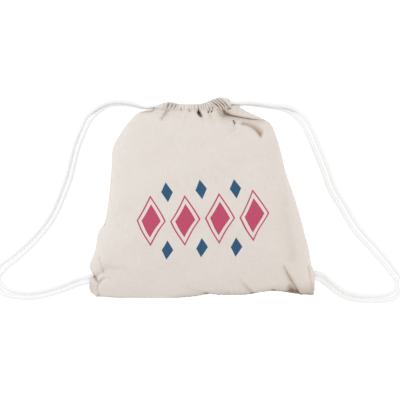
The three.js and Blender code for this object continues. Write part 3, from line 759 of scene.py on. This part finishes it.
def add_mesh(name, vertices, faces, flat_cloth=None, **tones):
    """Smooth-shaded object, with its places on the flat cloth as UVs and its shares of tones."""
    mesh = bpy.data.meshes.new(name)
    mesh.from_pydata([tuple(vertex) for vertex in vertices], [], faces)
    mesh.update()
    mesh.polygons.foreach_set("use_smooth", [True] * len(mesh.polygons))
    if flat_cloth is not None:
        layer = mesh.uv_layers.new(name="cloth")
        corners = np.empty(len(mesh.loops), dtype=np.int64)
        mesh.loops.foreach_get("vertex_index", corners)
        layer.data.foreach_set("uv", np.asarray(flat_cloth)[corners].astype(np.float32).ravel())
    for tone, share in tones.items():
        attribute = mesh.attributes.new(tone, "FLOAT", "POINT")
        attribute.data.foreach_set("value", np.clip(share, 0, 1).astype(np.float32).ravel())
    return add_object(name, mesh)


def grid_faces(index):
    """Four-sided faces of a grid of vertex numbers."""
    corners = (index[:-1, :-1], index[:-1, 1:], index[1:, 1:], index[1:, :-1])
    return np.stack([corner.ravel() for corner in corners], axis=1).tolist()


def tube_faces(index):
    """Faces of a tube with closed ends, from vertex numbers with one ring in each row."""
    around = np.concatenate((index, index[:, :1]), axis=1)
    return grid_faces(around) + [index[0][::-1].tolist(), index[-1].tolist()]


def cloth_grid(columns, bands):
    """Places w and v of a panel's grid."""
    ends = [start for start, _ in bands[1:]] + [1.0]
    rows = [np.linspace(start, end, count, endpoint=False) for (start, count), end in zip(bands, ends)]
    return np.meshgrid(np.linspace(-1, 1, columns + 1), np.concatenate(rows + [np.ones(1)]))


def add_panel(name, points, plain, outwards, shift, **tones):
    """One panel of cloth, its flat-cloth places taken from the plain sack and moved by shift."""
    index = np.arange(points[..., 0].size).reshape(points.shape[:2])
    faces = grid_faces(index)
    if outwards < 0:
        faces = [face[::-1] for face in faces]
    flat = np.stack(cloth_lengths(plain)[:2], axis=-1).reshape(-1, 2) + np.array((0, shift))
    panel = add_mesh(name, points.reshape(-1, 3), faces, flat, **tones)
    modifier = panel.modifiers.new("thickness", "SOLIDIFY")
    modifier.thickness = CLOTH_THICKNESS
    modifier.offset = -1
    return panel


def add_front():
    w, v = cloth_grid(FRONT_COLUMNS, FRONT_BANDS)
    points, brown, plain = front_points(w, v)
    points = points + grid_normals(points) * seam_relief(points)[..., None]
    # The front carries painted shade in its folds and gathers, and towards the bottom seam and the left
    # corner
    return add_panel("front_cloth", points, plain, 1, 0.0, brown=brown, grey=edge_grey(plain))


def add_back():
    w, v = cloth_grid(BACK_COLUMNS, BACK_BANDS)
    points = back_points(w, v)
    return add_panel("back_cloth", points, points, -1, BACK_CLOTH_SHIFT)


def casing_pouch(u):
    """How much fuller a casing is at u than in its middle."""
    return sum(fuller * bell((u - place) / reach) for place, fuller, reach in CASING_POUCHES)


def grip_at(x):
    """How far the gathers grip the cord at x: 0 at the ends of the casings, 1 between them."""
    return smooth((x - GRIP_ENDS[0]) / GRIP_BLEND) * smooth((GRIP_ENDS[1] - x) / GRIP_BLEND)


def slanted(u, turn):
    """u along a casing, drawn in at the slanted ends by the place round it."""
    left = mix(*CASING_LEFT_END, (1 + np.cos(turn)) / 2)
    right = mix(*CASING_RIGHT_END, (1 + np.cos(turn - CASING_RIGHT_TURN)) / 2)
    return mix(left, right, (u + 1) / 2)


def casing_middle(u, heights):
    """Middle line of a casing, just beyond the upper edge of its panel."""
    u = np.asarray(u, dtype=float)
    x, y = plan_at(u, np.ones_like(u), sections_at(np.ones_like(u)))
    y = y + CASING_HALF_ACROSS + casing_pouch(u) + CASING_GAP
    arch = np.maximum(0, 1 - CASING_ARCH * u * u)
    return np.stack((x, y, mix(heights[0], heights[1], arch)), axis=-1)


def casing_points(u, turn, heights, inset):
    """Points round the gathered outside of a casing, at u along it and turn round it, inset from it."""
    centre = casing_middle(u, heights)
    before = casing_middle(np.maximum(u - CASING_SLOPE_STEP, -1), heights)
    after = casing_middle(np.minimum(u + CASING_SLOPE_STEP, 1), heights)
    along = unit(after - before)
    across = unit(np.cross(UPWARDS, along))
    thick = np.cross(along, across)
    pouch = casing_pouch(u)
    deepest = mix(*CASING_DEEPEST, grip_at(centre[..., 0])) + CASING_POUCH_THICKNESS * pouch
    sink = np.minimum(gather_depth(centre[..., 0], (1 + np.cos(turn)) / 2, 0.0), deepest) + inset
    half_across = (CASING_HALF_ACROSS + pouch - sink) * np.cos(turn)
    fuller = np.sign(np.sin(turn)) * np.abs(np.sin(turn)) ** CASING_FULLNESS
    half_thick = (CASING_HALF_THICK + CASING_POUCH_THICKNESS * pouch - sink) * fuller
    points = centre + across * half_across[..., None] + thick * half_thick[..., None]
    points[..., 2] = np.maximum(points[..., 2], FLOOR_CLEARANCE)
    return points


def hollow_points(u, turn, heights):
    """Points round the plain hollow of a casing, close about its cord."""
    middle = casing_middle(u, heights)
    ring = np.stack((np.zeros_like(turn), np.cos(turn), np.sin(turn)), axis=-1)
    return middle + mix(*CASING_HOLLOWS, grip_at(middle[..., 0]))[..., None] * ring


def add_casing(name, heights):
    """Gathered tunnel of cloth with its hollow, open at both ends."""
    stations = np.linspace(-1, 1, CASING_STATIONS + 1)
    turns = np.linspace(0, 2 * math.pi, CASING_SIDES, endpoint=False)
    place, turn = np.meshgrid(stations, turns)
    u = slanted(place, turn)
    outer = casing_points(u, turn, heights, 0.0)
    inner = hollow_points(u, turn, heights)
    index = np.arange(u.size).reshape(u.shape)
    closed = np.concatenate((index, index[:1]))
    faces = [face[::-1] for face in grid_faces(closed)] + grid_faces(closed + u.size)
    for column in (0, -1):
        ends = np.stack((closed[:, column], closed[:, column] + u.size))
        rim = grid_faces(ends)
        faces += rim if column == 0 else [face[::-1] for face in rim]
    round_cloth = turn * CASING_FLAT[1] / (2 * math.pi) + BACK_CLOTH_SHIFT
    flat = np.stack((u * CASING_FLAT[0] / 2, round_cloth), axis=-1).reshape(-1, 2)
    vertices = np.concatenate((outer.reshape(-1, 3), inner.reshape(-1, 3)))
    gathers = gather_depth(casing_middle(u, heights)[..., 0], (1 + np.cos(turn)) / 2, 0.0)
    # Painted shade: darker in the valleys of the gathers, and fully dark on the whole hollow inside the
    # casing
    brown = np.stack((gather_brown(gathers), np.ones_like(u)))
    return add_mesh(name, vertices, faces, np.concatenate((flat, flat)), brown=brown)


def add_stitches(name, heights, outwards):
    """Row of thread stitches along the sewn edge of a casing, on its outside."""
    middles = np.linspace(*STITCH_ENDS, STITCH_COUNT)
    half = STITCH_LENGTH / (casing_middle(1, heights)[0] - casing_middle(-1, heights)[0])
    turns = np.linspace(0, 2 * math.pi, STITCH_SIDES, endpoint=False)
    shares = np.linspace(-1, 1, STITCH_RINGS)
    swell = np.sqrt(np.maximum(STITCH_BLUNTNESS, 1 - shares**2))
    vertices = []
    faces = []
    for middle in middles:
        u = slanted(middle, outwards * STITCH_TURN) + half * shares
        line = casing_points(u, np.full_like(u, outwards * STITCH_TURN), heights, 0.0)
        line[:, 2] = np.maximum(line[:, 2] + outwards * STITCH_RADIUS * STITCH_LIFT * swell, STITCH_RADIUS)
        index = len(vertices) + np.arange(len(shares) * len(turns)).reshape(len(shares), len(turns))
        for point, size in zip(line, STITCH_RADIUS * swell):
            for angle in turns:
                vertices.append(point + size * np.array((0, math.cos(angle), math.sin(angle))))
        faces += tube_faces(index)
    return add_mesh(name, vertices, faces)


# Cords


def strand_points(route, is_front, towards_casing):
    """One strand of a pair: beside the other where there is room, and over it where they come together."""
    middles = np.array([row[:2] for row in route])
    outward = towards_casing if is_front else -towards_casing
    points = []
    for index, (x, y, *given) in enumerate(route):
        half, front, back = (*given, *USUAL_STRANDS[len(given) :])
        before = middles[max(0, index - 1)]
        after = middles[min(len(route) - 1, index + 1)]
        run = unit(after - before)
        over = math.sqrt(max(0.0, STRAND_SPACING**2 - (2 * half) ** 2))
        clear = max(back + over, front) if is_front else back
        points.append((x - outward * half * run[1], y + outward * half * run[0], CORD_BED + clear))
    return points


def travelled_to(points, power):
    """Sum of the distances up to each point, each raised to a power."""
    distances = np.linalg.norm(np.diff(points, axis=0), axis=1) ** power
    return np.concatenate(([0], np.cumsum(distances)))


def curve_piece(points, knots):
    """Smooth curve through four points at their knots, from the second point to just before the third."""
    place = np.linspace(knots[1], knots[2], CURVE_STEPS, endpoint=False)[:, None]

    def between(starts, first, last):
        share = (place - knots[first]) / (knots[last] - knots[first])
        return mix(*starts, share)

    sides = [between(points[first : first + 2], first, first + 1) for first in range(3)]
    bends = [between(sides[first : first + 2], first, first + 2) for first in range(2)]
    return between(bends, 1, 2)


def smooth_line(points, step):
    """Evenly spaced points on a smooth curve through points."""
    points = np.array(points)
    ends = np.concatenate(([2 * points[0] - points[1]], points, [2 * points[-1] - points[-2]]))
    knots = travelled_to(ends, KNOT_POWER)
    pieces = [curve_piece(ends[i : i + 4], knots[i : i + 4]) for i in range(len(ends) - 3)]
    line = np.concatenate(pieces + [points[-1:]])
    travelled = travelled_to(line, 1)
    places = np.linspace(0, travelled[-1], int(round(travelled[-1] / step)) + 1)
    return np.stack([np.interp(places, travelled, line[:, axis]) for axis in range(3)], axis=1), places


def frames_along(line):
    """Two directions square to a line at each of its points, without twist."""
    along = unit(np.gradient(line, axis=0))
    side = np.cross(along[0], UPWARDS)
    sides = []
    for direction in along:
        side = unit(side - direction * np.dot(side, direction))
        sides.append(side)
    sides = np.array(sides)
    return sides, np.cross(along, sides)


def add_cord(name, is_front, heights):
    """A drawcord from the left lower corner through its casing to the right lower corner."""
    left = strand_points(LEFT_ROUTE, is_front, -1)[::-1]
    right = strand_points(RIGHT_ROUTE, is_front, 1)
    through = [tuple(casing_middle(stop, heights)) for stop in CASING_STOPS]
    tucked_left = (left[0][0] + CORD_TUCK, left[0][1], left[0][2])
    tucked_right = (right[-1][0] - CORD_TUCK, right[-1][1], right[-1][2])
    line, places = smooth_line([tucked_left, *left, *through, *right, tucked_right], CORD_STEP)
    sides, ups = frames_along(line)
    turns = np.linspace(0, 2 * math.pi, CORD_SIDES, endpoint=False)
    around, along = np.meshgrid(turns, places * 2 * math.pi / BRAID_PITCH)
    plain = mix(CORD_RADIUS, GRIPPED_RADIUS, grip_at(line[:, :1]))
    radius = plain + BRAID_RELIEF * (np.cos(BRAID_AROUND * around) * np.cos(along) - BRAID_SINK)
    ring = np.cos(turns)[None, :, None] * sides[:, None] + np.sin(turns)[None, :, None] * ups[:, None]
    vertices = line[:, None] + ring * radius[..., None]
    vertices[..., 2] = np.maximum(vertices[..., 2], FLOOR_CLEARANCE)
    faces = tube_faces(np.arange(radius.size).reshape(radius.shape))
    flat = np.stack(np.meshgrid(turns * CORD_RADIUS, places), axis=-1)
    piece = add_mesh(name, vertices.reshape(-1, 3), faces, flat.reshape(-1, 2))
    return piece


# Materials


class Nodes:
    """Short ways to add shader nodes to a new material."""

    def __init__(self, name):
        self.material = bpy.data.materials.new(name)
        self.material.use_nodes = True
        self.tree = self.material.node_tree
        self.shader = self.tree.nodes["Principled BSDF"]

    def add(self, kind, **settings):
        node = self.tree.nodes.new(kind)
        for key, value in settings.items():
            setattr(node, key, value)
        return node

    def join(self, value, socket):
        if isinstance(value, bpy.types.NodeSocket):
            self.tree.links.new(value, socket)
        else:
            socket.default_value = value

    def feed(self, node, inputs):
        """Joins values to a node's inputs by name, and gives its first output."""
        for name, value in inputs.items():
            self.join(value, node.inputs[name])
        return node.outputs[0]

    def math(self, operation, *values):
        node = self.add("ShaderNodeMath", operation=operation)
        for value, socket in zip(values, node.inputs):
            self.join(value, socket)
        return node.outputs[0]

    def cloth_place(self):
        """Place on the flat cloth, in metres."""
        return self.add("ShaderNodeUVMap", uv_map="cloth").outputs[0]

    def parts(self, vector):
        node = self.add("ShaderNodeSeparateXYZ")
        self.join(vector, node.inputs[0])
        return node.outputs[0], node.outputs[1]

    def noise(self, kind, vector, stretch=NO_STRETCH):
        place = self.feed(self.add("ShaderNodeMapping"), {"Vector": vector, "Scale": stretch})
        fineness, detail = NOISES[kind]
        inputs = {"Vector": place, "Scale": fineness, "Detail": detail}
        return self.feed(self.add("ShaderNodeTexNoise"), inputs)

    def ramp(self, value, low, high, start=0.0, end=1.0):
        node = self.add("ShaderNodeMapRange", interpolation_type="SMOOTHSTEP")
        limits = {"From Min": low, "From Max": high, "To Min": start, "To Max": end}
        return self.feed(node, {"Value": value} | limits)

    def blend(self, share, first, second):
        node = self.add("ShaderNodeMix", data_type="RGBA")
        self.join(share, node.inputs[MIX_SHARE])
        for colour, socket in zip((first, second), MIX_COLOURS):
            self.join(colour, node.inputs[socket])
        return node.outputs[MIX_RESULT]

    def bump(self, height, distance, strength, under=None):
        inputs = {"Height": height, "Distance": distance, "Strength": strength}
        if under is not None:
            inputs["Normal"] = under
        return self.feed(self.add("ShaderNodeBump"), inputs)


def weave_height(nodes, place):
    """Plain weave: threads going over and under each other."""
    turns = [nodes.math("MULTIPLY", value, 2 * math.pi / WEAVE_PITCH) for value in nodes.parts(place)]
    return nodes.math("MULTIPLY", *[nodes.math("SINE", turn) for turn in turns])


def cotton_colour(nodes, place):
    """Undyed cotton: thicker yarns both ways, soft mottling and a few flecks."""
    warp = nodes.noise("yarns", place, WARP_STRETCH)
    weft = nodes.noise("yarns", place, WEFT_STRETCH)
    yarns = nodes.math("MULTIPLY", nodes.math("ADD", warp, weft), 0.5)
    colour = nodes.blend(nodes.ramp(yarns, *SHARES["yarns"]), COTTON_DARK, COTTON)
    mottling = nodes.ramp(nodes.noise("mottling", place), *SHARES["mottling"])
    colour = nodes.blend(mottling, colour, COTTON)
    flecks = nodes.ramp(nodes.noise("flecks", place), *SHARES["flecks"])
    return nodes.blend(flecks, colour, FLECK)


def diamond_distance(nodes, across, along):
    return nodes.math("ADD", nodes.math("ABSOLUTE", across), nodes.math("ABSOLUTE", along))


def inside(nodes, distance, edge):
    """1 within an edge of the print and 0 outside it."""
    return nodes.ramp(distance, edge - PRINT_SOFTNESS, edge + PRINT_SOFTNESS, 1.0, 0.0)


def printed(nodes, place, colour):
    """Cotton colour with the printed row of diamonds over it."""
    x, y = nodes.parts(place)
    across = nodes.math("DIVIDE", nodes.math("SUBTRACT", x, PRINT_MIDDLE[0]), DIAMOND_WIDTH)
    along = nodes.math("DIVIDE", nodes.math("SUBTRACT", y, PRINT_MIDDLE[1]), DIAMOND_HEIGHT)
    from_middle = nodes.math("ABSOLUTE", across)
    within = nodes.math("LESS_THAN", from_middle, DIAMOND_COUNT / 2)
    cell = nodes.math("SUBTRACT", nodes.math("FRACT", across), 0.5)
    large = diamond_distance(nodes, cell, along)
    corner_x = nodes.math("SUBTRACT", nodes.math("ABSOLUTE", cell), 0.5)
    corner_y = nodes.math("SUBTRACT", nodes.math("ABSOLUTE", along), 0.5)
    small = diamond_distance(nodes, corner_x, corner_y)
    core = inside(nodes, large, DIAMOND_CORE)
    ring = nodes.math("SUBTRACT", inside(nodes, large, RING_OUTSIDE), inside(nodes, large, RING_INSIDE))
    red = nodes.math("MULTIPLY", nodes.math("MAXIMUM", core, ring), within)
    between = nodes.math("LESS_THAN", from_middle, DIAMOND_COUNT / 2 - 0.5)
    blue = nodes.math("MULTIPLY", inside(nodes, small, SMALL_DIAMOND), between)
    worn = nodes.ramp(nodes.noise("wear", place), *SHARES["wear"])
    colour = nodes.blend(nodes.math("MULTIPLY", red, worn), colour, PRINT_RED)
    return nodes.blend(nodes.math("MULTIPLY", blue, worn), colour, PRINT_BLUE)


def cotton_material(name, with_print):
    nodes = Nodes(name)
    place = nodes.cloth_place()
    colour = cotton_colour(nodes, place)
    if with_print:
        colour = printed(nodes, place, colour)
    # Painted shade: one tone blends the cloth to a dark warm colour in folds, gathers and the casing's
    # hollow, the other darkens it towards the bottom seam and at the left corner
    for tone, shade in (("brown", PAINTED_RECESS_SHADE), ("grey", PAINTED_EDGE_SHADE)):
        share = nodes.add("ShaderNodeAttribute", attribute_name=tone).outputs["Fac"]
        colour = nodes.blend(share, colour, shade)
    soft = nodes.bump(nodes.noise("softness", place), *SOFT_BUMP)
    weave = nodes.bump(weave_height(nodes, place), *WEAVE_BUMP, soft)
    nodes.feed(nodes.shader, COTTON_SURFACE | {"Base Color": colour, "Normal": weave})
    return nodes.material


def cord_material():
    nodes = Nodes("white_cotton_cord")
    place = nodes.cloth_place()
    fibres = nodes.noise("fibres", place, FIBRE_STRETCH)
    colour = nodes.blend(nodes.ramp(fibres, *SHARES["fibres"]), CORD_SHADE, CORD_WHITE)
    bump = nodes.bump(fibres, *FIBRE_BUMP)
    nodes.feed(nodes.shader, CORD_SURFACE | {"Base Color": colour, "Normal": bump})
    return nodes.material


def thread_material():
    nodes = Nodes("cotton_thread")
    place = nodes.add("ShaderNodeTexCoord").outputs["Object"]
    shade = nodes.ramp(nodes.noise("thread", place), *SHARES["thread"])
    nodes.feed(nodes.shader, THREAD_SURFACE | {"Base Color": nodes.blend(shade, COTTON, THREAD)})
    return nodes.material


def floor_material():
    nodes = Nodes("white_floor")
    nodes.feed(nodes.shader, FLOOR_SURFACE)
    return nodes.material


# Setting


def add_camera():
    """Camera straight above the bag, with the photograph's frame."""
    data = bpy.data.cameras.new("camera")
    data.sensor_width = SENSOR_WIDTH
    data.lens = SENSOR_WIDTH * CAMERA_DISTANCE / (FRAME_PIXELS * PIXEL_SIZE)
    camera = add_object("camera", data)
    camera.location = (CAMERA_AIM[0], CAMERA_AIM[1], CAMERA_AIM[2] + CAMERA_DISTANCE)
    bpy.context.scene.camera = camera


def add_lamp(name, place, power, colour):
    """Soft lamp that points at the bag."""
    data = bpy.data.lights.new(name, "AREA")
    data.energy = power
    data.color = colour
    data.size = LAMP_SIZE
    lamp = add_object(name, data)
    lamp.location = place
    aim = np.array(CAMERA_AIM) - np.array(place)
    yaw = math.atan2(aim[1], aim[0]) - math.pi / 2
    tilt = math.atan2(math.hypot(aim[0], aim[1]), -aim[2])
    lamp.rotation_euler = (tilt, 0, yaw)


def add_setting():
    """Pale floor, even sky, a soft lamp from either side, the left one stronger, and a warm one below."""
    corners = [(x * FLOOR_HALF, y * FLOOR_HALF, 0) for x, y in ((-1, -1), (1, -1), (1, 1), (-1, 1))]
    floor = add_mesh("floor", corners, [(0, 1, 2, 3)])
    floor.data.materials.append(floor_material())
    world = bpy.data.worlds.new("sky")
    world.use_nodes = True
    sky = world.node_tree.nodes["Background"].inputs
    sky["Color"].default_value = WHITE
    sky["Strength"].default_value = SKY_STRENGTH
    bpy.context.scene.world = world
    for lamp in LAMPS:
        add_lamp(*lamp)
    bpy.context.scene.view_settings.view_transform = "Standard"


def dress(piece, nodes, material):
    """Puts a piece on the part in place of its CAD nodes."""
    piece.data.materials.append(material)
    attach(piece, "root")
    if nodes:
        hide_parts(*nodes)


add_camera()
cord_finish = cord_material()
front_cord = add_cord("front_cord", True, FRONT_CASING_HEIGHTS)
dress(front_cord, ["front_drawcord"], cord_finish)
back_cord = add_cord("back_cord", False, BACK_CASING_HEIGHTS)
dress(back_cord, ["back_drawcord"], cord_finish)

printed_cotton = cotton_material("printed_cotton", True)
plain_cotton = cotton_material("plain_cotton", False)
thread = thread_material()
for side, panel, finish, heights, outwards, under in (
    ("front", add_front(), printed_cotton, FRONT_CASING_HEIGHTS, 1, "back_cloth"),
    ("back", add_back(), plain_cotton, BACK_CASING_HEIGHTS, -1, "floor"),
):
    dress(panel, [f"{side}_panel"], finish)
    casing = add_casing(f"{side}_casing_cloth", heights)
    dress(casing, [f"{side}_casing"], plain_cotton)
    stitches = add_stitches(f"{side}_casing_stitches", heights, outwards)
    dress(stitches, [], thread)

add_setting()
